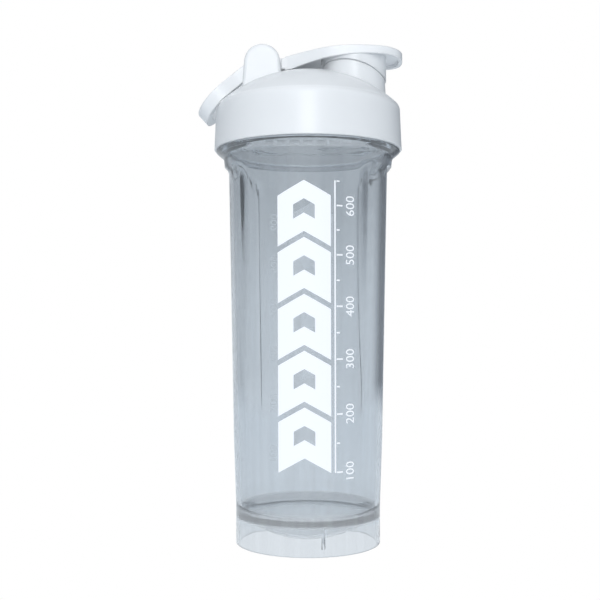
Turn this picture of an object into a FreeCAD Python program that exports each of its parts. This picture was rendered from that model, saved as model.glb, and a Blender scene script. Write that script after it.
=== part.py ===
import FreeCAD, Part
import math
import os

# Protein shaker bottle, mm. The origin is on the floor at the centre of the cup's foot, +Z is up, and the
# spout is toward +X, so the hinge posts and the carry loop are toward -X.

Vector = FreeCAD.Vector
Z_AXIS = Vector(0, 0, 1)
Y_AXIS = Vector(0, 1, 0)
CENTRE = Vector(0, 0, 0)

# Driving dimensions of the cup
foot_radius = 35.75
skirt_thickness = 1.75
skirt_height = 13.7
body_start = 18.0
body_top = 186.0
body_top_radius = 41.7
collar_radius = 42.2
collar_top = 190.6
flange_radius = 46.0
flange_top = 194.3
neck_radius = 41.8
neck_wall = 2.2
rim_height = 213.0
wall_low = 2.3
wall_high = 3.0
bowl_radius = 47.0
bowl_thickness = 2.0
bowl_gap_to_floor = 2.0
bowl_edge_height = 17.0

# Grip panels, sunk into the two sides of the cup
cup_turn = -4.2
panel_half_angle = 42.0
panel_floor_low = (50.0, 36.9)
panel_floor_high = (184.0, 39.6)
panel_corner_height = 179.3
panel_arch_height = 186.2
panel_corner_radius = 4.0
panel_wall = 2.2

# Screw thread
thread_pitch = 5.0
thread_turns = 1.25
cup_thread_start = 200.5
thread_depth = 1.4
lid_thread_depth = 1.9
thread_root_half = 1.1
thread_crest_half = 0.5

# Driving dimensions of the lid
lid_bottom = 194.6
lid_radius = 46.9
lid_shoulder_radius = 46.1
lid_shoulder_height = 214.2
dome_edge_radius = 44.7
dome_top = 234.5
dome_radius = 66.0
lid_bore = 44.4
lid_skin = 2.2
gasket_ceiling = 215.1
plug_ring_outer = 39.2
plug_ring_inner = 37.4
plug_ring_bottom = 211.5
gasket_side_gap = 0.3
gasket_height = 2.0

# Spout and its curved rim, which is an arc in the XZ plane
spout_x = 23.0
spout_low = (214.0, 16.6)
spout_high = (240.0, 15.1)
spout_bore = 13.4
rim_arc_x = 13.0
rim_arc_z = 192.8
rim_arc_radius = 45.0
rim_gap = 0.25

# Hinge posts, and the axis that the flip cap and the carry loop share
hinge_x = -22.4
hinge_z = 236.0
post_radius = 8.8
post_base_half = 10.2
post_base_z = 216.0
post_inner = 12.5
post_outer = 17.0
post_edge_round = 1.6
peg_radius = 2.6
peg_clearance = 0.1
peg_end = 15.3
socket_end = 15.5

# Flip cap
knuckle_half = 8.6
knuckle_radius = 4.6
cap_heel_x = -11.4
cap_heel_half = 12.0
cap_half = 16.8
cap_tip_x = 47.3
cap_plate = 2.0
cap_rim = 1.8
boss_radius = 16.3
boss_wall = 1.8
seal_depth = 3.5
seal_side_gap = 0.3
lid_clearance = 0.4

# Carry loop
loop_slope = 42.0
loop_length = 39.6
loop_band = 4.1
loop_arm_inner = 8.9
loop_arm_outer = 12.2
loop_half = 14.9
loop_eye_radius = 5.0

# Mixing grid
grid_clearance = 0.05
grid_bottom = 211.8
grid_thickness = 1.6
grid_rim_height = 3.0
grid_rim_width = 2.2
grid_pitch = 7.4
grid_hole = 5.6


def path(start, *steps):
    """Wire in the XZ plane. A step is a point, or a pair of points for an arc's middle and end."""
    edges = []
    here = Vector(start[0], 0, start[1])
    for step in steps:
        if isinstance(step[0], tuple):
            middle = Vector(step[0][0], 0, step[0][1])
            there = Vector(step[1][0], 0, step[1][1])
            edges.append(Part.Arc(here, middle, there).toShape())
        else:
            there = Vector(step[0], 0, step[1])
            if not there.isEqual(here, 1e-6):
                edges.append(Part.makeLine(here, there))
        here = there
    return Part.Wire(edges)


def revolved(start, *steps):
    """Solid of revolution about Z, from a closed outline in the XZ plane."""
    face = Part.Face(path(start, *steps, start))
    return face.revolve(CENTRE, Z_AXIS, 360)


def extruded_y(half_width, start, *steps):
    """Closed outline in the XZ plane, extruded to both sides along Y."""
    face = Part.Face(path(start, *steps, start))
    face.translate(Vector(0, -half_width, 0))
    return face.extrude(Vector(0, 2 * half_width, 0))


def cylinder_y(radius, x, z, y_from, y_to):
    return Part.makeCylinder(radius, y_to - y_from, Vector(x, y_from, z), Y_AXIS)


def mirrored(shape):
    """The same shape on the other side of the XZ plane."""
    return shape.mirror(CENTRE, Y_AXIS)


def plan_prism(half_outline, bottom, top):
    """Prism whose plan is a smooth curve through the points and their mirror image, closed by a line."""
    there = [Vector(x, y, bottom) for x, y in half_outline]
    back = [Vector(x, -y, bottom) for x, y in reversed(half_outline[:-1])]
    curve = Part.BSplineCurve()
    curve.interpolate(there + back)
    edges = [curve.toShape(), Part.makeLine(back[-1], there[0])]
    return Part.Face(Part.Wire(edges)).extrude(Vector(0, 0, top - bottom))


def along(low, high, height):
    """Radius at a height on the line through two (height, radius) pairs."""
    share = (height - low[0]) / (high[0] - low[0])
    return low[1] + share * (high[1] - low[1])


def sphere_point(radius, centre_z, distance, upper):
    """(x, z) on a sphere about the Z axis, at a distance from the axis."""
    rise = math.sqrt(radius ** 2 - distance ** 2)
    return (distance, centre_z + rise if upper else centre_z - rise)


def thread(root_radius, crest_radius, start_z):
    """Right-hand helical ridge, rooted a little way into the wall that carries it."""
    into_wall = -0.3 if crest_radius > root_radius else 0.3
    buried = root_radius + into_wall
    section = Part.Wire(Part.makePolygon([
        Vector(buried, 0, start_z - thread_root_half),
        Vector(root_radius, 0, start_z - thread_root_half),
        Vector(crest_radius, 0, start_z - thread_crest_half),
        Vector(crest_radius, 0, start_z + thread_crest_half),
        Vector(root_radius, 0, start_z + thread_root_half),
        Vector(buried, 0, start_z + thread_root_half),
        Vector(buried, 0, start_z - thread_root_half),
    ]))
    spine = Part.makeHelix(thread_pitch, thread_pitch * thread_turns, root_radius)
    spine.translate(Vector(0, 0, start_z))
    return Part.Wire(spine.Edges).makePipeShell([section], True, True)


# Cup

def panel_window(distance, half_angle, lift):
    """Arched outline of a grip panel in a plane at a distance along +X, with its sides on radial planes."""
    spread = distance * math.tan(math.radians(half_angle))
    corner = panel_corner_radius / (body_top_radius * math.sin(math.radians(half_angle)))
    shoulder = spread * (1 - corner)
    low = panel_floor_low[0] - 30.0
    corner_z = panel_corner_height + lift

    def point(y, z):
        return Vector(distance, y, z)

    rise = panel_arch_height - panel_corner_height
    shoulder_z = corner_z + rise * (1 - (1 - corner) ** 2)
    bend_y = spread * (1 - corner * 0.3)
    bend_z = shoulder_z - panel_corner_radius * 0.35
    edges = [
        Part.makeLine(point(-spread, low), point(-spread, shoulder_z - panel_corner_radius)),
        Part.Arc(point(-spread, shoulder_z - panel_corner_radius), point(-bend_y, bend_z),
                 point(-shoulder, shoulder_z)).toShape(),
        Part.Arc(point(-shoulder, shoulder_z), point(0, panel_arch_height + lift),
                 point(shoulder, shoulder_z)).toShape(),
        Part.Arc(point(shoulder, shoulder_z), point(bend_y, bend_z),
                 point(spread, shoulder_z - panel_corner_radius)).toShape(),
        Part.makeLine(point(spread, shoulder_z - panel_corner_radius), point(spread, low)),
        Part.makeLine(point(spread, low), point(-spread, low)),
    ]
    return Part.Wire(edges)


def grip_panels(inset):
    """What the two grip panels take away: all that is outside the panels' floor and inside their windows."""
    widen = math.degrees(inset / body_top_radius)
    near = 22.0
    far = 60.0
    windows = [panel_window(d, panel_half_angle + widen, inset) for d in (near, far)]
    block = Part.makeLoft(windows, True, True)
    low = panel_floor_low[0] - 40.0
    high = panel_arch_height + 20.0
    floor_low = along(panel_floor_low, panel_floor_high, low) - inset
    floor_high = along(panel_floor_low, panel_floor_high, high) - inset
    floor = Part.makeCone(floor_low, floor_high, high - low, Vector(0, 0, low))
    one = block.cut(floor)
    one.rotate(CENTRE, Z_AXIS, cup_turn)
    other = one.copy()
    other.rotate(CENTRE, Z_AXIS, 180)
    return [one, other]


def cup_outside():
    solid = revolved(
        (0, 0),
        (foot_radius - 0.4, 0),
        (foot_radius, 0.4),
        (foot_radius, body_start),
        (body_top_radius, body_top),
        (collar_radius, body_top + 1.0),
        (collar_radius, collar_top),
        (flange_radius - 0.3, flange_top - 0.4),
        (flange_radius, flange_top - 0.2),
        (flange_radius, flange_top),
        (neck_radius, flange_top),
        (neck_radius, rim_height - 0.3),
        (neck_radius - 0.3, rim_height),
        (0, rim_height),
    )
    return solid.cut(grip_panels(0))


def cup_inside():
    """The room inside the cup, from the bowl to above the rim."""
    bowl_centre = bowl_gap_to_floor + bowl_thickness + bowl_radius
    low_radius = foot_radius - wall_low
    high_radius = body_top_radius - wall_high
    neck_inner = neck_radius - neck_wall
    bowl_edge_radius = math.sqrt(bowl_radius ** 2 - (bowl_centre - bowl_edge_height) ** 2)
    bowl_edge = sphere_point(bowl_radius, bowl_centre, bowl_edge_radius, False)
    bowl_middle = sphere_point(bowl_radius, bowl_centre, bowl_edge_radius / 2, False)
    solid = revolved(
        (0, bowl_centre - bowl_radius),
        (bowl_middle, bowl_edge),
        (low_radius, bowl_edge_height + 1.8),
        (high_radius, collar_top + 0.8),
        (neck_inner, flange_top - 1.2),
        (neck_inner, rim_height - 0.3),
        (neck_inner + 0.3, rim_height),
        (neck_inner + 0.3, rim_height + 5.0),
        (0, rim_height + 5.0),
    )
    return solid.cut(grip_panels(panel_wall))


def under_cup():
    """The room under the bowl, inside the skirt."""
    outer_bowl = bowl_radius + bowl_thickness
    centre = bowl_gap_to_floor + outer_bowl
    inner = foot_radius - skirt_thickness
    edge_radius = math.sqrt(outer_bowl ** 2 - (centre - skirt_height) ** 2)
    edge = sphere_point(outer_bowl, centre, edge_radius, False)
    middle = sphere_point(outer_bowl, centre, edge_radius / 2, False)
    return revolved(
        (0, -1.0),
        (inner, -1.0),
        (inner, skirt_height - 0.8),
        (inner - 0.8, skirt_height),
        edge,
        (middle, (0, bowl_gap_to_floor)),
    )


def turning_lug():
    """Short rib inside the skirt, which keeps the cup from turning while it is printed."""
    width = 1.4
    depth = 1.6
    lug = Part.makeBox(width, depth, 8.0, Vector(-width / 2, 0, skirt_height - 7.5))
    lug.translate(Vector(0, -(foot_radius - skirt_thickness) - 0.2, 0))
    lug.rotate(CENTRE, Z_AXIS, 12.0)
    return lug


def cup():
    solid = cup_outside().cut([cup_inside(), under_cup()])
    ridge = thread(neck_radius, neck_radius + thread_depth, cup_thread_start)
    return solid.fuse([turning_lug(), ridge]).removeSplitter()


# Lid

def dome_profile(clearance):
    """Outline of the lid's outside, grown by a clearance, without the spout and the posts."""
    radius = dome_radius + clearance
    centre = dome_top - dome_radius
    edge = sphere_point(radius, centre, dome_edge_radius + clearance, True)
    middle = sphere_point(radius, centre, dome_edge_radius / 2, True)
    shoulder_bend = (lid_shoulder_radius - 0.35 + clearance, lid_shoulder_height + 1.5)
    return (
        (0, lid_bottom - clearance),
        (lid_radius - 0.3 + clearance, lid_bottom - clearance),
        (lid_radius + clearance, lid_bottom + 0.3),
        (lid_shoulder_radius + clearance, lid_shoulder_height),
        (shoulder_bend, edge),
        (middle, (0, centre + radius)),
    )


def lid_inside():
    """The room under the lid: over the neck of the cup, the gasket's seat and the inside of the dome."""
    centre = dome_top - dome_radius
    radius = dome_radius - lid_skin
    edge = sphere_point(radius, centre, plug_ring_inner, True)
    middle = sphere_point(radius, centre, plug_ring_inner / 2, True)
    return revolved(
        (0, lid_bottom - 1.0),
        (lid_bore + 0.4, lid_bottom - 1.0),
        (lid_bore + 0.4, lid_bottom),
        (lid_bore, lid_bottom + 0.6),
        (lid_bore, gasket_ceiling),
        (plug_ring_outer, gasket_ceiling),
        (plug_ring_outer, plug_ring_bottom),
        (plug_ring_inner, plug_ring_bottom),
        edge,
        (middle, (0, centre + radius)),
    )


def spout_outside():
    low_z, low_radius = spout_low
    high_z, high_radius = spout_high
    cone = Part.makeCone(low_radius, high_radius, high_z - low_z, Vector(spout_x, 0, low_z))
    return cone.common(cylinder_y(rim_arc_radius, rim_arc_x, rim_arc_z, -30.0, 30.0))


def hinge_post():
    """Post on the +Y side, with its outer edges rounded."""
    side = math.sqrt(0.5) * post_radius
    thickness = post_outer - post_inner
    post = extruded_y(
        thickness / 2,
        (hinge_x - post_base_half, post_base_z),
        (hinge_x - post_radius, hinge_z),
        ((hinge_x - side, hinge_z + side), (hinge_x, hinge_z + post_radius)),
        ((hinge_x + side, hinge_z + side), (hinge_x + post_radius, hinge_z)),
        (hinge_x + post_base_half, post_base_z),
    )
    post.translate(Vector(0, post_inner + thickness / 2, 0))
    outer_edges = [
        edge for edge in post.Edges
        if edge.BoundBox.YMin > post_outer - 0.01 and edge.BoundBox.ZMax > post_base_z + 1.0
    ]
    return post.makeFillet(post_edge_round, outer_edges)


def lid():
    post = hinge_post()
    outside = revolved(*dome_profile(0)).fuse([spout_outside(), post, mirrored(post)])
    bore = Part.makeCylinder(spout_bore, 50.0, Vector(spout_x, 0, 200.0))
    socket = cylinder_y(peg_radius + peg_clearance, hinge_x, hinge_z, post_inner - 1.0, socket_end)
    solid = outside.cut([lid_inside(), bore, socket, mirrored(socket)])
    ridge = thread(lid_bore, lid_bore - lid_thread_depth, cup_thread_start - thread_pitch / 2)
    return solid.fuse(ridge).removeSplitter()


def lid_gasket():
    inner = plug_ring_outer + gasket_side_gap
    outer = lid_bore - gasket_side_gap
    base = Vector(0, 0, gasket_ceiling - gasket_height)
    ring = Part.makeCylinder(outer, gasket_height, base)
    return ring.cut(Part.makeCylinder(inner, gasket_height, base))


def mixing_grid():
    """Round grid with square holes and a rim that snaps inside the lid's plug ring."""
    radius = plug_ring_inner - grid_clearance
    base = Vector(0, 0, grid_bottom)
    disc = Part.makeCylinder(radius, grid_rim_height, base)
    above = Part.makeCylinder(radius - grid_rim_width, grid_rim_height, base + Vector(0, 0, grid_thickness))
    reach = int(radius / grid_pitch)
    holes = []
    for column in range(-reach, reach + 1):
        for row in range(-reach, reach + 1):
            x = column * grid_pitch
            y = row * grid_pitch
            if math.hypot(abs(x) + grid_hole / 2, abs(y) + grid_hole / 2) > radius - grid_rim_width:
                continue
            corner = Vector(x - grid_hole / 2, y - grid_hole / 2, grid_bottom - 1.0)
            holes.append(Part.makeBox(grid_hole, grid_hole, 6.0, corner))
    return disc.cut([above] + holes)


# Flip cap

def cap_section(drop):
    """Slab between the cap's curved top, lowered by a drop, and its curved lower edge."""
    left = cap_heel_x - 1.0
    right = cap_tip_x + 1.0
    return extruded_y(
        cap_half + 1.0,
        (left, 231.8 if drop == 0 else 225.0),
        (left, 239.1 - drop),
        ((18.0, 243.9 - drop), (right, 242.4 - drop)),
        (right, 238.8 if drop == 0 else 225.0),
        *([((20.0, 239.6), (left, 231.8))] if drop == 0 else []),
    )


def cap_plan(inset):
    """Plan of the cap, or of the hollow inside its rim."""
    outline = [
        (cap_heel_x + inset, cap_heel_half - inset),
        (-2.0, 13.6 - inset),
        (8.0, 16.0 - inset),
        (20.0, cap_half - inset),
        (32.0, 16.3 - inset),
        (40.0 - inset * 0.3, 14.8 - inset * 0.9),
        (45.4 - inset * 0.7, 9.6 - inset * 0.7),
        (cap_tip_x - inset, 0),
    ]
    return plan_prism(outline, 215.0, 255.0)


def spout_cylinder(radius):
    return Part.makeCylinder(radius, 40.0, Vector(spout_x, 0, 215.0))


def under_rim(lift):
    """All that is inside the rim's arc, raised by a lift."""
    return cylinder_y(rim_arc_radius + lift, rim_arc_x, rim_arc_z, -30.0, 30.0)


def cap_knuckle():
    """Barrel on the hinge axis, the web that joins it to the plate, and the two pegs."""
    barrel = cylinder_y(knuckle_radius, hinge_x, hinge_z, -knuckle_half, knuckle_half)
    web = extruded_y(
        knuckle_half,
        (hinge_x, hinge_z - 2.0),
        (hinge_x, hinge_z + knuckle_radius - 2.0),
        (hinge_x + 3.0, hinge_z + knuckle_radius - 1.0),
        (cap_heel_x + 2.0, 239.5),
        (cap_heel_x + 2.0, 232.0),
    )
    pegs = cylinder_y(peg_radius, hinge_x, hinge_z, -peg_end, peg_end)
    return [barrel, web, pegs]


def flip_cap():
    plate = cap_section(0).common(cap_plan(0))
    hollow = cap_section(cap_plate).common(cap_plan(cap_rim))
    shell = plate.cut(hollow)
    ceiling = extruded_y(
        30.0, (-20.0, 220.0), (-20.0, 236.0), ((18.0, 243.0), (60.0, 240.0)), (60.0, 220.0),
    )
    boss = spout_cylinder(boss_radius).cut([spout_cylinder(boss_radius - boss_wall), under_rim(rim_gap)])
    boss = boss.common(ceiling)
    solid = shell.fuse([boss] + cap_knuckle())
    envelope = revolved(*dome_profile(lid_clearance))
    return solid.cut(envelope).removeSplitter()


def spout_seal():
    """Soft plug under the cap: a pad over the spout's rim and a tapered ring that goes into the bore."""
    pad = spout_cylinder(boss_radius - boss_wall - seal_side_gap).cut(under_rim(rim_gap))
    pad = pad.common(cap_section(cap_plate))
    ring_bottom = 222.0
    ring_top = 240.0
    widest = spout_bore - 0.1
    ring = Part.makeCone(widest - 1.4, widest, ring_top - ring_bottom, Vector(spout_x, 0, ring_bottom))
    ring = ring.cut(under_rim(-seal_depth))
    pocket = Part.makeCylinder(widest - 3.0, 30.0, Vector(spout_x, 0, 210.0))
    pocket = pocket.common(under_rim(1.2))
    return pad.fuse(ring).cut(pocket).removeSplitter()


# Carry loop

def loop_level():
    """The loop with its hinge axis at the origin, pointing along -X."""
    top = 5.0
    low = -1.3
    bow = 1.0
    arm_length = 12.0
    slab = extruded_y(
        loop_half + 2.0,
        (0, low),
        (0, top),
        ((-loop_length / 2, top + bow), (-loop_length - 1.0, top - 0.5)),
        (-loop_length - 1.0, low - 0.5),
        ((-loop_length / 2, low + bow), (0, low)),
    )
    outer = plan_prism([
        (-arm_length, loop_arm_outer),
        (-18.0, 13.3),
        (-27.0, loop_half),
        (-34.4, 12.6),
        (-38.6, 6.6),
        (-loop_length, 0),
    ], -20.0, 20.0)
    inner = plan_prism([
        (-arm_length + 0.1, loop_arm_inner),
        (-18.0, 9.8),
        (-25.5, loop_half - loop_band),
        (-31.6, 9.0),
        (-34.7, 4.8),
        (-loop_length + loop_band, 0),
    ], -20.0, 20.0)
    bend = slab.common(outer.cut(inner))
    arm_width = loop_arm_outer - loop_arm_inner
    arm_box = Part.makeBox(arm_length, arm_width, 40.0, Vector(-arm_length, loop_arm_inner, -20.0))
    arm = slab.common(arm_box)
    eye = cylinder_y(loop_eye_radius, 0, 0, loop_arm_inner, loop_arm_outer)
    side = arm.fuse(eye)
    return bend.fuse([side, mirrored(side)])


def carry_loop():
    solid = loop_level()
    solid.rotate(CENTRE, Y_AXIS, -loop_slope)
    solid.translate(Vector(hinge_x, 0, hinge_z))
    eye_hole = cylinder_y(peg_radius + peg_clearance, hinge_x, hinge_z, -20.0, 20.0)
    envelope = revolved(*dome_profile(lid_clearance))
    return solid.cut([eye_hole, envelope]).removeSplitter()


PIECES = {
    "cup": cup,
    "lid": lid,
    "lid_gasket": lid_gasket,
    "mixing_grid": mixing_grid,
    "flip_cap": flip_cap,
    "spout_seal": spout_seal,
    "carry_loop": carry_loop,
}

os.makedirs("parts", exist_ok=True)
for name, build in PIECES.items():
    shape = build()
    print(name, "valid", shape.isValid(), "solids", len(shape.Solids), "volume cm3", round(shape.Volume / 1000, 2))
    shape.exportStep(f"parts/{name}.step")
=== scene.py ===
"""Protein shaker bottle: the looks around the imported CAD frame. Metres, +Z up, the spout toward +X."""
import math

import bmesh
import bpy
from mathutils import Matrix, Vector

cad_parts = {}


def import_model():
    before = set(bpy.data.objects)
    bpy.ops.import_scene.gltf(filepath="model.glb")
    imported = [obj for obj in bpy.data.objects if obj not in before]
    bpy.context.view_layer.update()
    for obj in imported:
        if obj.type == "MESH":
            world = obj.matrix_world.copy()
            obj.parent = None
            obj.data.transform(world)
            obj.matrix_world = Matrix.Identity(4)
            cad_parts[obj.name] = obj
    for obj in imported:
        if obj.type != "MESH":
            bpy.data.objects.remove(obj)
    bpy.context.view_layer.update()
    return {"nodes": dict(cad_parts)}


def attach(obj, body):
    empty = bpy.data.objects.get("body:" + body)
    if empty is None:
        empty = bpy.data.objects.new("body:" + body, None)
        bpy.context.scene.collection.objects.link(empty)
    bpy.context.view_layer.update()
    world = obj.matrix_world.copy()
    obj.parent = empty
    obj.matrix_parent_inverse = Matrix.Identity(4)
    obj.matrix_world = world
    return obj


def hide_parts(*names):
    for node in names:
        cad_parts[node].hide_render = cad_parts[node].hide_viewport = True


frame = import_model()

MM = 0.001

# Cup, as in the CAD: (height, radius) at the ends of its body and of its panels' floors. The steps between
# the mesh's columns are in degrees.
FOOT_RADIUS = 35.75 * MM
SKIRT_INNER = 34.0 * MM
SKIRT_HEIGHT = 13.7 * MM
COLLAR_RADIUS = 42.2 * MM
COLLAR_TOP = 190.6 * MM
FLANGE_RADIUS = 46.0 * MM
FLANGE_TOP = 194.3 * MM
NECK_RADIUS = 41.8 * MM
NECK_INNER = 39.6 * MM
RIM_HEIGHT = 213.0 * MM
THREAD_START = 200.5 * MM
THREAD_PITCH = 5.0 * MM
THREAD_TURNS = 1.25
THREAD_DEPTH = 1.4 * MM
THREAD_HALF = 1.1 * MM
LUG_ANGLE = math.radians(-78.0)
LUG_LOW = 6.2 * MM
LUG_HALF = 0.7 * MM
LUG_DEPTH = 1.6 * MM
BODY_LOW = (18.0 * MM, FOOT_RADIUS)
BODY_HIGH = (186.0 * MM, 41.7 * MM)
PANEL_LOW = (50.0 * MM, 36.9 * MM)
PANEL_HIGH = (184.0 * MM, 39.6 * MM)
PANEL_HALF_ANGLE = 42.0
PANEL_WALL = 2.2 * MM
PANEL_STEP = 0.8 * MM
INNER_GROW = 3.0 * MM
INNER_STEP = 11.0 * MM
PANEL_CORNER = 4.0 * MM
ARCH_LOW = 179.3 * MM
ARCH_TOP = 186.2 * MM
CUP_WALL = 2.6 * MM
CUP_TURN = math.radians(-4.2)
BOWL_RADIUS = 47.0 * MM
BOWL_CENTRE = 51.0 * MM
BOWL_EDGE = 17.0 * MM
BOWL_WALL = 2.0 * MM
BOWL_ROWS = 24
ROUND_STEPS = 4
SMALL_SOFTENING = 0.5 * MM
COLUMN_STEP = 3
CLOSE_STEP = 0.4
SHARP_ANGLE = 40
FILL_STEP = 0.25 * MM
MILLILITRES = 1e6

# Lid, as in the CAD
LID_BORE = 44.4 * MM
LID_CEILING = 215.1 * MM

# Cheeks of the flip cap: their two sides, and (x, low, high) at their two ends
CHEEK_SIDES = (8.7 * MM, 12.1 * MM)
CHEEK_ENDS = ((-13.2 * MM, 233.5 * MM, 238.6 * MM), (-9.8 * MM, 233.6 * MM, 239.5 * MM))

# Print: a stack of chevrons and a volume scale beside it, with a tick for every 50 ml
PRINT_LIFT = 0.08 * MM
WRAP_STEP = 1.5 * MM
CHEVRONS = 5
CHEVRON_LOW = 39.0 * MM
CHEVRON_PITCH = 26.2 * MM
CHEVRON_MIDDLE = 1.1 * MM
CHEVRON_WIDTH = 25.0 * MM
CHEVRON_RISE = 7.0 * MM
CHEVRON_BAND = 23.5 * MM
SCALE_VOLUME = 50.0
SCALE_FIRST = 2
SCALE_LAST = 13
HUNDREDS = range(1, 7)
SCALE_LEFT = 16.4 * MM
SCALE_TICK = 3.0 * MM
SCALE_LINE = 0.7 * MM
SCALE_TEXT = 25.5 * MM
SCALE_NUMERAL = 4.6 * MM
FONT_CAP = 0.72

# Raised ticks on a panel's floor: left and right ends, and half their height
RAISED_TICK = (-7.0 * MM, -1.0 * MM, 0.35 * MM)

# Materials: density of the cup's tint, the cloudy ring at its foot, the milky whites, and the painted glow
# they share, which stands in for light soaking through their walls
CLEAR_TINT = 60.0
RING_MIDDLE = 15.8 * MM
RING_HALF = 2.4 * MM
RING_CLEAR = 0.76
MILKY_WEIGHT = 0.4
MILKY_REACH = 3.0 * MM
GLOW = (0.92, 0.96, 1.0, 1.0)

# Studio: painted light of the floor, a pool brightest under the foot, against distance from the foot in
# metres, and brightness of the room against its two parts: across from -X (0) to +X (1), and upward from
# level (0) to straight up (1)
# Painted light: the floor's glow, brightest under the foot, stands in for light that passes through the cup
PAINTED_FLOOR_POOL = ((0.03, (0.80, 0.84, 0.88)), (0.16, (0.74, 0.80, 0.86)), (0.5, (0.72, 0.785, 0.85)))
ROOM_AROUND = (
    (0.02, (0.28, 0.31, 0.34)), (0.30, (0.74, 0.79, 0.84)), (0.58, (0.70, 0.755, 0.81)),
    (0.67, (0.21, 0.235, 0.27)), (0.85, (0.20, 0.22, 0.25)), (0.97, (0.56, 0.61, 0.66)),
)
ROOM_UPWARD = ((0.0, (1.0, 1.0, 1.0)), (0.16, (0.72, 0.72, 0.72)), (0.9, (0.85, 0.85, 0.85)))
WHITE_PIECES = ("lid", "flip_cap", "cap_cheeks", "carry_loop")

# Camera: sensor and lens in millimetres, place in metres, tilt and turn in degrees
SENSOR = 36.0
LENS = 57.52
CAMERA_PLACE = (0.0, -0.4806, 0.1085)
CAMERA_TILT = 91.37
CAMERA_TURN = 0.48


# ---------------------------------------------------------------- materials

def new_material(name):
    """Empty node material with a Principled shader. Returns the material, its tree and the shader."""
    material = bpy.data.materials.new(name)
    material.use_nodes = True
    tree = material.node_tree
    return material, tree, tree.nodes["Principled BSDF"]


def object_noise(tree, scale, detail=3.0, stretch=(1.0, 1.0, 1.0)):
    """Noise in object coordinates, so it stays with the piece. Scale is in cycles per metre."""
    place = tree.nodes.new("ShaderNodeTexCoord")
    mapping = tree.nodes.new("ShaderNodeMapping")
    mapping.inputs["Scale"].default_value = stretch
    noise = tree.nodes.new("ShaderNodeTexNoise")
    noise.inputs["Scale"].default_value = scale
    noise.inputs["Detail"].default_value = detail
    tree.links.new(place.outputs["Object"], mapping.inputs["Vector"])
    tree.links.new(mapping.outputs["Vector"], noise.inputs["Vector"])
    return noise


def vary(tree, noise, socket, low, high):
    """Spreads a noise between a low and a high value, and drives a socket with it if one is given."""
    spread = tree.nodes.new("ShaderNodeMapRange")
    spread.interpolation_type = "SMOOTHSTEP"
    spread.inputs["From Min"].default_value = 0.3
    spread.inputs["From Max"].default_value = 0.7
    spread.inputs["To Min"].default_value = low
    spread.inputs["To Max"].default_value = high
    tree.links.new(noise.outputs["Fac"], spread.inputs["Value"])
    if socket:
        tree.links.new(spread.outputs["Result"], socket)
    return spread.outputs["Result"]


def cloud_foot(tree, clear, socket):
    """Scales the clearness of the cup by height: the thick ring where bowl and skirt meet is cloudier."""
    place = tree.nodes.new("ShaderNodeTexCoord")
    parts = tree.nodes.new("ShaderNodeSeparateXYZ")
    tree.links.new(place.outputs["Object"], parts.inputs["Vector"])
    off = tree.nodes.new("ShaderNodeMath")
    off.operation = "SUBTRACT"
    off.inputs[1].default_value = RING_MIDDLE
    tree.links.new(parts.outputs["Z"], off.inputs[0])
    size = tree.nodes.new("ShaderNodeMath")
    size.operation = "ABSOLUTE"
    tree.links.new(off.outputs["Value"], size.inputs[0])
    share = tree.nodes.new("ShaderNodeMapRange")
    share.inputs["From Min"].default_value = RING_HALF
    share.inputs["From Max"].default_value = RING_HALF * 1.5
    share.inputs["To Min"].default_value = RING_CLEAR
    tree.links.new(size.outputs["Value"], share.inputs["Value"])
    both = tree.nodes.new("ShaderNodeMath")
    both.operation = "MULTIPLY"
    tree.links.new(clear, both.inputs[0])
    tree.links.new(share.outputs["Result"], both.inputs[1])
    tree.links.new(both.outputs["Value"], socket)


def bump(tree, noise, shader, distance):
    """Fine relief from a noise. Returns the node, so that more can be put under it."""
    node = tree.nodes.new("ShaderNodeBump")
    node.inputs["Distance"].default_value = distance
    tree.links.new(noise.outputs["Fac"], node.inputs["Height"])
    tree.links.new(node.outputs["Normal"], shader.inputs["Normal"])
    return node


def round_edges(tree, relief, radius):
    """Makes the edges under a relief look rounded by a radius."""
    rounded = tree.nodes.new("ShaderNodeBevel")
    rounded.samples = 4
    rounded.inputs["Radius"].default_value = radius
    tree.links.new(rounded.outputs["Normal"], relief.inputs["Normal"])


def clear_plastic():
    """Clear copolyester: polished, with flow waves from moulding, upright streaks of milky haze, and a grey
    tint that gathers where light runs a long way inside the wall."""
    material, tree, shader = new_material("clear_plastic")
    shader.inputs["Base Color"].default_value = (0.97, 0.985, 0.995, 1.0)
    shader.inputs["IOR"].default_value = 1.5
    streaks = object_noise(tree, 260.0, detail=2.0, stretch=(1.0, 1.0, 0.03))
    clear = vary(tree, streaks, None, 0.875, 0.94)
    cloud_foot(tree, clear, shader.inputs["Transmission Weight"])
    haze = object_noise(tree, 220.0, stretch=(1.0, 1.0, 0.25))
    vary(tree, haze, shader.inputs["Roughness"], 0.015, 0.05)
    waves = object_noise(tree, 45.0, detail=1.0, stretch=(1.0, 1.0, 0.12))
    bump(tree, waves, shader, 0.15 * MM)
    tint = tree.nodes.new("ShaderNodeVolumeAbsorption")
    tint.inputs["Color"].default_value = (0.49, 0.56, 0.63, 1.0)
    tint.inputs["Density"].default_value = CLEAR_TINT
    tree.links.new(tint.outputs["Volume"], tree.nodes["Material Output"].inputs["Volume"])
    return material


def falling(tree, value, start, end):
    """1 up to the start, 0 from the end."""
    drop = tree.nodes.new("ShaderNodeMapRange")
    drop.inputs["From Min"].default_value = start
    drop.inputs["From Max"].default_value = end
    drop.inputs["To Min"].default_value = 1.0
    drop.inputs["To Max"].default_value = 0.0
    tree.links.new(value, drop.inputs["Value"])
    return drop.outputs["Result"]


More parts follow.
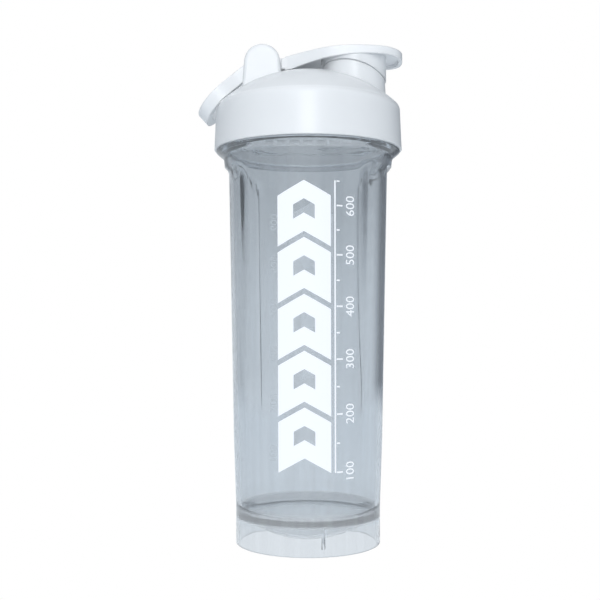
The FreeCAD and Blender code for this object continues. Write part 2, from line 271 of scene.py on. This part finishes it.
def inside_lid(tree):
    """1 in the room that the lid's wall encloses below its dome, 0 outside it."""
    place = tree.nodes.new("ShaderNodeTexCoord")
    parts = tree.nodes.new("ShaderNodeSeparateXYZ")
    flat = tree.nodes.new("ShaderNodeVectorMath")
    flat.operation = "MULTIPLY"
    flat.inputs[1].default_value = (1.0, 1.0, 0.0)
    reach = tree.nodes.new("ShaderNodeVectorMath")
    reach.operation = "LENGTH"
    tree.links.new(place.outputs["Object"], parts.inputs["Vector"])
    tree.links.new(place.outputs["Object"], flat.inputs[0])
    tree.links.new(flat.outputs["Vector"], reach.inputs[0])
    within = falling(tree, reach.outputs["Value"], LID_BORE + 0.3 * MM, LID_BORE + 0.8 * MM)
    below = falling(tree, parts.outputs["Z"], LID_CEILING - 1.0 * MM, LID_CEILING + 3.0 * MM)
    both = tree.nodes.new("ShaderNodeMath")
    both.operation = "MULTIPLY"
    tree.links.new(within, both.inputs[0])
    tree.links.new(below, both.inputs[1])
    return both.outputs["Value"]


def soaked_light(tree, socket):
    """A faint glow that stands in for the light that soaks through the thin white walls, stronger inside."""
    strength = tree.nodes.new("ShaderNodeMapRange")
    strength.inputs["To Min"].default_value = 0.02
    strength.inputs["To Max"].default_value = 0.24
    tree.links.new(inside_lid(tree), strength.inputs["Value"])
    tree.links.new(strength.outputs["Result"], socket)


def milky(shader):
    """Lets light spread a little way under the surface."""
    shader.inputs["Subsurface Weight"].default_value = MILKY_WEIGHT
    shader.inputs["Subsurface Radius"].default_value = (1.0, 1.0, 1.0)
    shader.inputs["Subsurface Scale"].default_value = MILKY_REACH


def white_plastic():
    """Glossy white polypropylene with a faint moulded texture, and a painted glow, stronger inside the lid,
    that stands in for light soaking through it.
    """
    material, tree, shader = new_material("white_plastic")
    shader.inputs["Base Color"].default_value = (0.775, 0.79, 0.805, 1.0)
    shader.inputs["Emission Color"].default_value = GLOW
    milky(shader)
    shader.inputs["IOR"].default_value = 1.49
    shader.inputs["Roughness"].default_value = 0.27
    # Painted light: a glow, stronger inside the lid, in place of light that soaks through the thin walls
    soaked_light(tree, shader.inputs["Emission Strength"])
    grain = object_noise(tree, 900.0, detail=0.0)
    relief = bump(tree, grain, shader, 0.003 * MM)
    round_edges(tree, relief, 0.7 * MM)
    return material


def soft_silicone():
    """Milky silicone, matte and slightly see-through, with a faint painted glow that stands in for light
    soaking through it.
    """
    material, tree, shader = new_material("soft_silicone")
    shader.inputs["Base Color"].default_value = (0.74, 0.76, 0.78, 1.0)
    # Painted light: an even glow in place of light that soaks through the silicone
    shader.inputs["Emission Color"].default_value = GLOW
    shader.inputs["Emission Strength"].default_value = 0.2
    milky(shader)
    mottle = object_noise(tree, 300.0)
    vary(tree, mottle, shader.inputs["Roughness"], 0.45, 0.62)
    grain = object_noise(tree, 1400.0)
    bump(tree, grain, shader, 0.02 * MM)
    return material


def white_ink():
    """Screen-printed ink with slightly duller specks. A faint glow stands in for the light that comes through
    the clear wall behind it."""
    material, tree, shader = new_material("white_ink")
    shader.inputs["Base Color"].default_value = (0.44, 0.45, 0.47, 1.0)
    shader.inputs["Emission Color"].default_value = (0.90, 0.95, 1.0, 1.0)
    shader.inputs["Emission Strength"].default_value = 0.64
    specks = object_noise(tree, 1200.0)
    vary(tree, specks, shader.inputs["Roughness"], 0.35, 0.55)
    bump(tree, specks, shader, 0.01 * MM)
    return material


CLEAR = clear_plastic()
WHITE = white_plastic()
SILICONE = soft_silicone()
INK = white_ink()


def give(node, material):
    """Gives a CAD node its material in every slot."""
    piece = frame["nodes"][node]
    piece.data.materials.clear()
    piece.data.materials.append(material)


give("cup", CLEAR)
for node in ("lid", "mixing_grid", "flip_cap", "carry_loop"):
    give(node, WHITE)
for node in ("lid_gasket", "spout_seal"):
    give(node, SILICONE)


# ---------------------------------------------------------------- cup with softened edges

def softened(corners):
    """Profile through (radius, height, rounding) corners, with a curve in place of each rounded corner."""
    points = []
    for number, (r, z, rounding) in enumerate(corners):
        here = Vector((r, z))
        if rounding == 0 or number in (0, len(corners) - 1):
            points.append(here)
            continue
        before = Vector(corners[number - 1][:2]) - here
        after = Vector(corners[number + 1][:2]) - here
        start = here + before.normalized() * min(rounding, before.length * 0.45)
        end = here + after.normalized() * min(rounding, after.length * 0.45)
        for step in range(ROUND_STEPS + 1):
            t = step / ROUND_STEPS
            points.append(start * (1 - t) ** 2 + here * 2 * t * (1 - t) + end * t ** 2)
    return points


def with_rows(points, step_at):
    """Adds rows to the long stretches of a profile. The spacing depends on the height."""
    rows = [points[0]]
    for point in points[1:]:
        gap = (point - rows[-1]).length
        middle = (point.y + rows[-1].y) / 2
        start = rows[-1]
        count = max(1, round(gap / step_at(middle)))
        for number in range(1, count + 1):
            rows.append(start.lerp(point, number / count))
    return rows


def wall_step(z):
    """Row spacing: close where the panels' arches and the thread are."""
    return 0.6 * MM if z > ARCH_LOW else 3.0 * MM


def bowl_points(radius, end_height):
    """Points of a bowl's arc from the axis up to a height."""
    sweep = math.acos((BOWL_CENTRE - end_height) / radius)
    turns = [sweep * step / BOWL_ROWS for step in range(BOWL_ROWS + 1)]
    return [(radius * math.sin(turn), BOWL_CENTRE - radius * math.cos(turn), 0) for turn in turns]


def cup_radius(z):
    """Outside radius of the cup's tapered body, away from the grip panels."""
    share = (z - BODY_LOW[0]) / (BODY_HIGH[0] - BODY_LOW[0])
    return BODY_LOW[1] + share * (BODY_HIGH[1] - BODY_LOW[1])


def panel_radius(z):
    """Outside radius of the floor of a grip panel."""
    share = (z - PANEL_LOW[0]) / (PANEL_HIGH[0] - PANEL_LOW[0])
    return PANEL_LOW[1] + share * (PANEL_HIGH[1] - PANEL_LOW[1])


def smoothstep(value):
    """0 below 0, 1 above 1, and a smooth rise between."""
    value = min(1.0, max(0.0, value))
    return value * value * (3 - 2 * value)


def panel_share(azimuth, radius, z, grow, width):
    """How far into a grip panel a point is: 0 outside, 1 on its floor, and between on its soft step."""
    from_side = abs((azimuth - CUP_TURN + math.pi / 2) % math.pi - math.pi / 2)
    half = math.radians(PANEL_HALF_ANGLE)
    side = (half - from_side) * radius + grow
    arch = ARCH_LOW + (ARCH_TOP - ARCH_LOW) * (1 - (from_side / half) ** 2)
    top = arch - z + grow
    if side < PANEL_CORNER and top < PANEL_CORNER:
        inside = PANEL_CORNER - math.hypot(PANEL_CORNER - side, PANEL_CORNER - top)
    else:
        inside = min(side, top)
    return smoothstep(inside / width + 0.3)


def thread_height(azimuth, z):
    """Height of the neck's thread above the neck, which fades in and out at its ends."""
    turn = azimuth / (2 * math.pi) % 1
    height = 0.0
    for lap in (0, 1):
        along = turn + lap
        if along > THREAD_TURNS:
            continue
        off = abs(z - THREAD_START - along * THREAD_PITCH)
        ridge = smoothstep((THREAD_HALF - off) / SMALL_SOFTENING)
        ends = smoothstep(along / 0.04) * smoothstep((THREAD_TURNS - along) / 0.04)
        height = max(height, THREAD_DEPTH * ridge * ends)
    return height


def outer_radius(radius, z, azimuth):
    """Outside of the cup at an azimuth: sunk at the panels, raised at the thread."""
    if z > FLANGE_TOP + SMALL_SOFTENING:
        return radius + thread_height(azimuth, z)
    if z > ARCH_TOP + 2 * MM:
        return radius
    depth = max(0.0, radius - panel_radius(z))
    return radius - depth * panel_share(azimuth, radius, z, 0.0, PANEL_STEP)


def inner_radius(radius, z, azimuth):
    """Inside of the cup at an azimuth, which bulges in behind the panels."""
    depth = max(0.0, radius - panel_radius(z) + PANEL_WALL)
    return radius - depth * panel_share(azimuth, radius, z, INNER_GROW, INNER_STEP)


def skirt_radius(radius, z, azimuth):
    """Inside of the skirt, with one short upright lug."""
    off = abs((azimuth - LUG_ANGLE + math.pi) % (2 * math.pi) - math.pi) * radius
    if radius < SKIRT_INNER - 0.1 * MM or z < LUG_LOW:
        return radius
    return radius - LUG_DEPTH * smoothstep((LUG_HALF - off) / SMALL_SOFTENING + 0.5)


def cup_columns():
    """Azimuths of the mesh's columns, close together at the panels' steps and at the lug."""
    columns = {round(math.radians(degree), 5) for degree in range(0, 360, COLUMN_STEP)}
    close = [(LUG_ANGLE, 2.4)]
    for side in (0.0, math.pi):
        for sign in (-1, 1):
            close.append((side + CUP_TURN + sign * math.radians(PANEL_HALF_ANGLE + 1.5), 5.5))
    for middle, reach in close:
        steps = int(reach / CLOSE_STEP)
        for step in range(-steps, steps + 1):
            columns.add(round((middle + math.radians(step * CLOSE_STEP)) % (2 * math.pi), 5))
    return sorted(columns)


def cup_rows():
    """The cup's whole profile from the bowl's underside, round the foot and the rim, to the bowl's inside."""
    under = bowl_points(BOWL_RADIUS + BOWL_WALL, SKIRT_HEIGHT)
    under += [(SKIRT_INNER, SKIRT_HEIGHT, 0.8 * MM), (SKIRT_INNER, 0.0, 0.3 * MM)]
    outer = [
        (FOOT_RADIUS, 0.0, 0.4 * MM),
        (*reversed(BODY_LOW), 2.0 * MM),
        (*reversed(BODY_HIGH), 0.8 * MM),
        (COLLAR_RADIUS, COLLAR_TOP, 1.2 * MM),
        (FLANGE_RADIUS, FLANGE_TOP - 0.5 * MM, 0.3 * MM),
        (FLANGE_RADIUS, FLANGE_TOP, 0.3 * MM),
        (NECK_RADIUS, FLANGE_TOP, 0.5 * MM),
        (NECK_RADIUS, RIM_HEIGHT, 0.7 * MM),
        (NECK_INNER, RIM_HEIGHT, 0.7 * MM),
    ]
    inner = [
        (NECK_INNER, RIM_HEIGHT, 0.7 * MM),
        (NECK_INNER, FLANGE_TOP - 1.2 * MM, 1.0 * MM),
        (BODY_HIGH[1] - 3.0 * MM, COLLAR_TOP + 0.8 * MM, 1.5 * MM),
        (BODY_LOW[1] - 2.3 * MM, BOWL_EDGE + 1.8 * MM, 1.2 * MM),
        *reversed(bowl_points(BOWL_RADIUS, BOWL_EDGE)),
    ]
    whole = softened(under + outer[:-1] + inner)
    rows = with_rows(whole, wall_step)
    rim = max(range(len(rows)), key=lambda number: rows[number].y)
    foot = min(range(len(rows)), key=lambda number: rows[number].y)
    shaped = []
    for number, row in enumerate(rows):
        if number <= foot:
            shape = skirt_radius
        elif number <= rim:
            shape = outer_radius
        else:
            shape = inner_radius
        shaped.append((row.x, row.y, shape))
    return shaped


def cup_mesh():
    """One closed skin round the axis. Its first and last rows are points on the axis."""
    columns = cup_columns()
    rows = cup_rows()
    verts = [(0.0, 0.0, rows[0][1])]
    for radius, z, shape in rows[1:-1]:
        for azimuth in columns:
            at = shape(radius, z, azimuth)
            verts.append((at * math.cos(azimuth), at * math.sin(azimuth), z))
    verts.append((0.0, 0.0, rows[-1][1]))
    count = len(columns)
    last = len(verts) - 1
    faces = []
    for column in range(count):
        beside = (column + 1) % count
        faces.append((0, 1 + beside, 1 + column))
        for row in range(len(rows) - 3):
            low = 1 + row * count
            high = low + count
            faces.append((low + column, low + beside, high + beside, high + column))
        top = 1 + (len(rows) - 3) * count
        faces.append((top + column, top + beside, last))
    mesh = bpy.data.meshes.new("cup_clear")
    mesh.from_pydata(verts, [], faces)
    for face in mesh.polygons:
        face.use_smooth = True
    mesh.set_sharp_from_angle(angle=math.radians(SHARP_ANGLE))
    return mesh


def clear_cup():
    """The cup with softened edges, in place of the CAD cup."""
    cup = bpy.data.objects.new("cup_clear", cup_mesh())
    bpy.context.scene.collection.objects.link(cup)
    cup.data.materials.append(CLEAR)
    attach(cup, "cup")
    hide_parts("cup")


clear_cup()


# ---------------------------------------------------------------- print and ticks on the cup

def room_at(z):
    """Area of the inside of the cup at a height: a bowl, then a tapered circle less the two panels."""
    if z < BOWL_EDGE:
        return math.pi * max(0.0, BOWL_RADIUS ** 2 - (BOWL_CENTRE - z) ** 2)
    inner = cup_radius(z) - CUP_WALL
    floor_inner = min(inner, panel_radius(z) - PANEL_WALL)
    share = 4 * PANEL_HALF_ANGLE / 360
    return math.pi * (inner ** 2 - share * (inner ** 2 - floor_inner ** 2))


def fill_height(volume):
    """Height of the drink's surface for a volume in millilitres."""
    z = BOWL_CENTRE - BOWL_RADIUS
    filled = 0.0
    while filled < volume:
        filled += room_at(z) * FILL_STEP * MILLILITRES
        z += FILL_STEP
    return z


def mesh_of(curve):
    """Mesh of a curve or a text."""
    holder = bpy.data.objects.new("holder", curve)
    mesh = bpy.data.meshes.new_from_object(holder)
    bpy.data.objects.remove(holder)
    return mesh


def flat_mesh(outlines):
    """Flat 2D fill of closed outlines, where an outline inside another is a hole."""
    curve = bpy.data.curves.new("outlines", "CURVE")
    curve.dimensions = "2D"
    curve.fill_mode = "FRONT"
    for outline in outlines:
        spline = curve.splines.new("POLY")
        spline.points.add(len(outline) - 1)
        for point, (x, y) in zip(spline.points, outline):
            point.co = (x, y, 0.0, 1.0)
        spline.use_cyclic_u = True
    return mesh_of(curve)


def flat_text(words, height):
    """Flat mesh of a text with capitals of a height."""
    curve = bpy.data.curves.new("numeral", "FONT")
    curve.body = words
    curve.size = height / FONT_CAP
    curve.align_x = "CENTER"
    curve.resolution_u = 4
    return mesh_of(curve)


def chevron(middle, low):
    """Thick upward chevron with a slot in it."""
    half = CHEVRON_WIDTH / 2
    slot = CHEVRON_WIDTH * 0.2
    rise = CHEVRON_RISE
    band = CHEVRON_BAND
    slot_rise = rise * slot / half
    slot_low = low + band * 0.36
    slot_high = low + band * 0.64
    outer = [
        (middle - half, low), (middle, low + rise), (middle + half, low),
        (middle + half, low + band), (middle, low + band + rise), (middle - half, low + band),
    ]
    inner = [
        (middle - slot, slot_low + rise - slot_rise), (middle, slot_low + rise),
        (middle + slot, slot_low + rise - slot_rise),
        (middle + slot, slot_high + rise - slot_rise), (middle, slot_high + rise),
        (middle - slot, slot_high + rise - slot_rise),
    ]
    return [outer, inner]


def bar(left, right, low, high):
    """Outline of an upright rectangle."""
    return [(left, low), (right, low), (right, high), (left, high)]


def print_outlines():
    """The printed pattern, flat: x along the cup's surface, y up. A stack of chevrons and a scale's ticks."""
    outlines = []
    for step in range(CHEVRONS):
        outlines += chevron(CHEVRON_MIDDLE, CHEVRON_LOW + step * CHEVRON_PITCH)
    for tick in range(SCALE_FIRST, SCALE_LAST + 1):
        height = fill_height(tick * SCALE_VOLUME)
        reach = SCALE_TICK if tick % 2 == 0 else SCALE_TICK * 0.5
        outlines.append(bar(SCALE_LEFT, SCALE_LEFT + reach, height - SCALE_LINE / 2, height + SCALE_LINE / 2))
    low = fill_height(SCALE_FIRST * SCALE_VOLUME) - SCALE_LINE / 2
    high = fill_height(SCALE_LAST * SCALE_VOLUME) + SCALE_LINE / 2
    outlines.append(bar(SCALE_LEFT - SCALE_LINE * 1.6, SCALE_LEFT - SCALE_LINE * 0.6, low, high))
    return outlines


def add_flat(bm, mesh, x, y, turned):
    """Adds a flat mesh at a place, turned to read upward if asked."""
    before = len(bm.verts)
    bm.from_mesh(mesh)
    bm.verts.ensure_lookup_table()
    for vert in bm.verts[before:]:
        across, up = vert.co.x, vert.co.y
        if turned:
            across, up = -up, across
        vert.co = (x + across, y + up, 0.0)


def wrap(bm, radius_at, middle_angle, lift):
    """Bends a flat pattern round the cup. The angle is that of the pattern's x = 0, from +X."""
    reach = max(abs(vert.co.x) for vert in bm.verts)
    steps = int(reach / WRAP_STEP)
    for step in range(-steps, steps + 1):
        parts = list(bm.verts) + list(bm.edges) + list(bm.faces)
        bmesh.ops.bisect_plane(bm, geom=parts, plane_co=(step * WRAP_STEP, 0, 0), plane_no=(1, 0, 0))
    for vert in bm.verts:
        radius = radius_at(vert.co.y)
        angle = middle_angle + vert.co.x / radius
        out = radius + lift
        vert.co = (out * math.cos(angle), out * math.sin(angle), vert.co.y)


def piece_from(bm, name, material, thickness):
    """Scene object from a bmesh, given a thickness, that moves with the cup."""
    bmesh.ops.recalc_face_normals(bm, faces=bm.faces)
    mesh = bpy.data.meshes.new(name)
    bm.to_mesh(mesh)
    bm.free()
    piece = bpy.data.objects.new(name, mesh)
    bpy.context.scene.collection.objects.link(piece)
    mesh.materials.append(material)
    skin = piece.modifiers.new("thickness", "SOLIDIFY")
    skin.thickness = thickness
    skin.offset = 0.0
    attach(piece, "cup")
    return piece


def print_on(side, middle_angle):
    """The whole print, round one side of the cup."""
    bm = bmesh.new()
    add_flat(bm, flat_mesh(print_outlines()), 0.0, 0.0, False)
    for hundred in HUNDREDS:
        height = fill_height(hundred * 100.0)
        add_flat(bm, flat_text(str(hundred * 100), SCALE_NUMERAL), SCALE_TEXT, height, True)
    wrap(bm, cup_radius, middle_angle, PRINT_LIFT)
    piece_from(bm, "print_" + side, INK, 0.05 * MM)


def embossed_ticks():
    """Faint raised ticks on the floor of the grip panel toward -X, one for every 100 ml."""
    bm = bmesh.new()
    left, right, half = RAISED_TICK
    outlines = []
    for hundred in HUNDREDS:
        height = fill_height(hundred * 100.0)
        outlines.append(bar(left, right, height - half, height + half))
    add_flat(bm, flat_mesh(outlines), 0.0, 0.0, False)
    wrap(bm, panel_radius, math.pi + CUP_TURN, 0.2 * MM)
    piece_from(bm, "embossed_ticks", CLEAR, 0.3 * MM)


print_on("front", CUP_TURN - math.pi / 2)
print_on("back", CUP_TURN + math.pi / 2)
embossed_ticks()


# ---------------------------------------------------------------- cheeks of the flip cap

def cap_cheeks():
    """Closes the side of the flip cap up to the hinge posts, on both sides of its knuckle."""
    bm = bmesh.new()
    inner, outer = CHEEK_SIDES
    for side in (-1, 1):
        ends = []
        for x, low, high in CHEEK_ENDS:
            corners = ((inner, low), (outer, low), (outer, high), (inner, high))
            ends.append([bm.verts.new((x, side * y, z)) for y, z in corners])
        for corner in range(4):
            after = (corner + 1) % 4
            bm.faces.new((ends[0][corner], ends[0][after], ends[1][after], ends[1][corner]))
        for end in ends:
            bm.faces.new(end)
    bmesh.ops.recalc_face_normals(bm, faces=bm.faces)
    mesh = bpy.data.meshes.new("cap_cheeks")
    bm.to_mesh(mesh)
    bm.free()
    cheeks = bpy.data.objects.new("cap_cheeks", mesh)
    bpy.context.scene.collection.objects.link(cheeks)
    mesh.materials.append(WHITE)
    edge = cheeks.modifiers.new("edge", "BEVEL")
    edge.width = 0.4 * MM
    edge.segments = 2
    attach(cheeks, "flip_cap")


cap_cheeks()


# ---------------------------------------------------------------- studio

def ramp(tree, value, stops):
    """Colour ramp over a value, with (position, colour) stops."""
    node = tree.nodes.new("ShaderNodeValToRGB")
    node.color_ramp.interpolation = "EASE"
    points = node.color_ramp.elements
    while len(points) < len(stops):
        points.new(0.5)
    for point, (position, colour) in zip(points, stops):
        point.position = position
        point.color = (*colour, 1.0)
    tree.links.new(value, node.inputs["Fac"])
    return node


def floor_material():
    """White sheet under the bottle. It glows, with a painted pool of light that is brightest under the foot,
    and fades out with distance.
    """
    material = bpy.data.materials.new("studio_floor")
    material.use_nodes = True
    tree = material.node_tree
    tree.nodes.clear()
    place = tree.nodes.new("ShaderNodeTexCoord")
    distance = tree.nodes.new("ShaderNodeVectorMath")
    distance.operation = "LENGTH"
    tree.links.new(place.outputs["Object"], distance.inputs[0])
    painted_pool = ramp(tree, distance.outputs["Value"], PAINTED_FLOOR_POOL)
    edge = ramp(tree, distance.outputs["Value"], ((0.55, (0, 0, 0)), (0.95, (1, 1, 1))))
    shown = tree.nodes.new("ShaderNodeEmission")
    shown.inputs["Color"].default_value = (1.0, 1.0, 1.0, 1.0)
    # Painted light: to every ray but the camera's, the floor glows brightest under the foot, standing in for
    # light that passes through the cup
    lit = tree.nodes.new("ShaderNodeEmission")
    tree.links.new(painted_pool.outputs["Color"], lit.inputs["Color"])
    clear = tree.nodes.new("ShaderNodeBsdfTransparent")
    path = tree.nodes.new("ShaderNodeLightPath")
    kind = tree.nodes.new("ShaderNodeMixShader")
    tree.links.new(path.outputs["Is Camera Ray"], kind.inputs["Fac"])
    tree.links.new(lit.outputs["Emission"], kind.inputs[1])
    tree.links.new(shown.outputs["Emission"], kind.inputs[2])
    fade = tree.nodes.new("ShaderNodeMixShader")
    tree.links.new(edge.outputs["Color"], fade.inputs["Fac"])
    tree.links.new(kind.outputs["Shader"], fade.inputs[1])
    tree.links.new(clear.outputs["BSDF"], fade.inputs[2])
    out = tree.nodes.new("ShaderNodeOutputMaterial")
    tree.links.new(fade.outputs["Shader"], out.inputs["Surface"])
    return material


def floor():
    """The white sheet, kept out of the object."""
    bpy.ops.mesh.primitive_plane_add(size=2.0)
    plane = bpy.context.object
    plane.name = "studio_floor"
    plane.data.materials.append(floor_material())


def world():
    """White to the camera. What lights the bottle and shows through it is a blue-grey room, dark to +X."""
    backdrop = bpy.data.worlds.new("studio")
    bpy.context.scene.world = backdrop
    backdrop.use_nodes = True
    tree = backdrop.node_tree
    tree.nodes.clear()
    place = tree.nodes.new("ShaderNodeTexCoord")
    parts = tree.nodes.new("ShaderNodeSeparateXYZ")
    tree.links.new(place.outputs["Generated"], parts.inputs["Vector"])
    sideways = tree.nodes.new("ShaderNodeMapRange")
    sideways.inputs["From Min"].default_value = -1.0
    tree.links.new(parts.outputs["X"], sideways.inputs["Value"])
    around = ramp(tree, sideways.outputs["Result"], ROOM_AROUND)
    upward = ramp(tree, parts.outputs["Z"], ROOM_UPWARD)
    both = tree.nodes.new("ShaderNodeMix")
    both.data_type = "RGBA"
    both.blend_type = "MULTIPLY"
    both.inputs["Factor"].default_value = 1.0
    tree.links.new(around.outputs["Color"], both.inputs["A"])
    tree.links.new(upward.outputs["Color"], both.inputs["B"])
    room = tree.nodes.new("ShaderNodeBackground")
    tree.links.new(both.outputs["Result"], room.inputs["Color"])
    seen = tree.nodes.new("ShaderNodeBackground")
    seen.inputs["Color"].default_value = (1.0, 1.0, 1.0, 1.0)
    path = tree.nodes.new("ShaderNodeLightPath")
    mix = tree.nodes.new("ShaderNodeMixShader")
    tree.links.new(path.outputs["Is Camera Ray"], mix.inputs["Fac"])
    tree.links.new(room.outputs["Background"], mix.inputs[1])
    tree.links.new(seen.outputs["Background"], mix.inputs[2])
    out = tree.nodes.new("ShaderNodeOutputWorld")
    tree.links.new(mix.outputs["Shader"], out.inputs["Surface"])


def area_light(name, place, target, width, height, power):
    """Rectangular light at a place, aimed at a target. Its power is in watts."""
    data = bpy.data.lights.new(name, "AREA")
    data.shape = "RECTANGLE"
    data.size = width
    data.size_y = height
    data.energy = power
    light = bpy.data.objects.new(name, data)
    light.location = place
    light.rotation_euler = (Vector(target) - Vector(place)).to_track_quat("-Z", "Y").to_euler()
    bpy.context.scene.collection.objects.link(light)
    return light


def only_on(light, pieces):
    """Keeps a light off everything but these pieces, so that it leaves no streak in the clear cup."""
    lit = bpy.data.collections.new(light.name + "_lit")
    for piece in pieces:
        lit.objects.link(bpy.data.objects[piece])
    light.light_linking.receiver_collection = lit


def camera():
    """Level with the middle of the cup and close, so the lid is seen from below and the foot from above."""
    data = bpy.data.cameras.new("camera")
    data.sensor_width = SENSOR
    data.lens = LENS
    eye = bpy.data.objects.new("camera", data)
    eye.location = CAMERA_PLACE
    eye.rotation_euler = (math.radians(CAMERA_TILT), 0.0, math.radians(CAMERA_TURN))
    bpy.context.scene.collection.objects.link(eye)
    bpy.context.scene.camera = eye


floor()
world()
front = area_light("front_softbox", (0.0, -1.2, 0.5), (0, 0, 0.16), 0.5, 1.0, 4.2)
front.visible_glossy = False
front.visible_transmission = False
top = area_light("top_softbox", (0.0, -0.2, 1.3), (0, 0, 0.1), 0.9, 0.9, 1.8)
top.visible_transmission = False
strip = area_light("lid_strip", (0.0, -1.2, 0.4), (0, 0, 0.2), 0.42, 0.8, 4.0)
only_on(strip, WHITE_PIECES)
behind = area_light("lid_behind", (0.0, 1.2, 0.5), (0, 0, 0.2), 0.7, 0.8, 2.4)
behind.visible_glossy = False
only_on(behind, WHITE_PIECES)
camera()

scene = bpy.context.scene
scene.view_settings.view_transform = "Standard"
scene.cycles.use_denoising = True
scene.cycles.max_bounces = 24
scene.cycles.transmission_bounces = 20
scene.cycles.transparent_max_bounces = 16
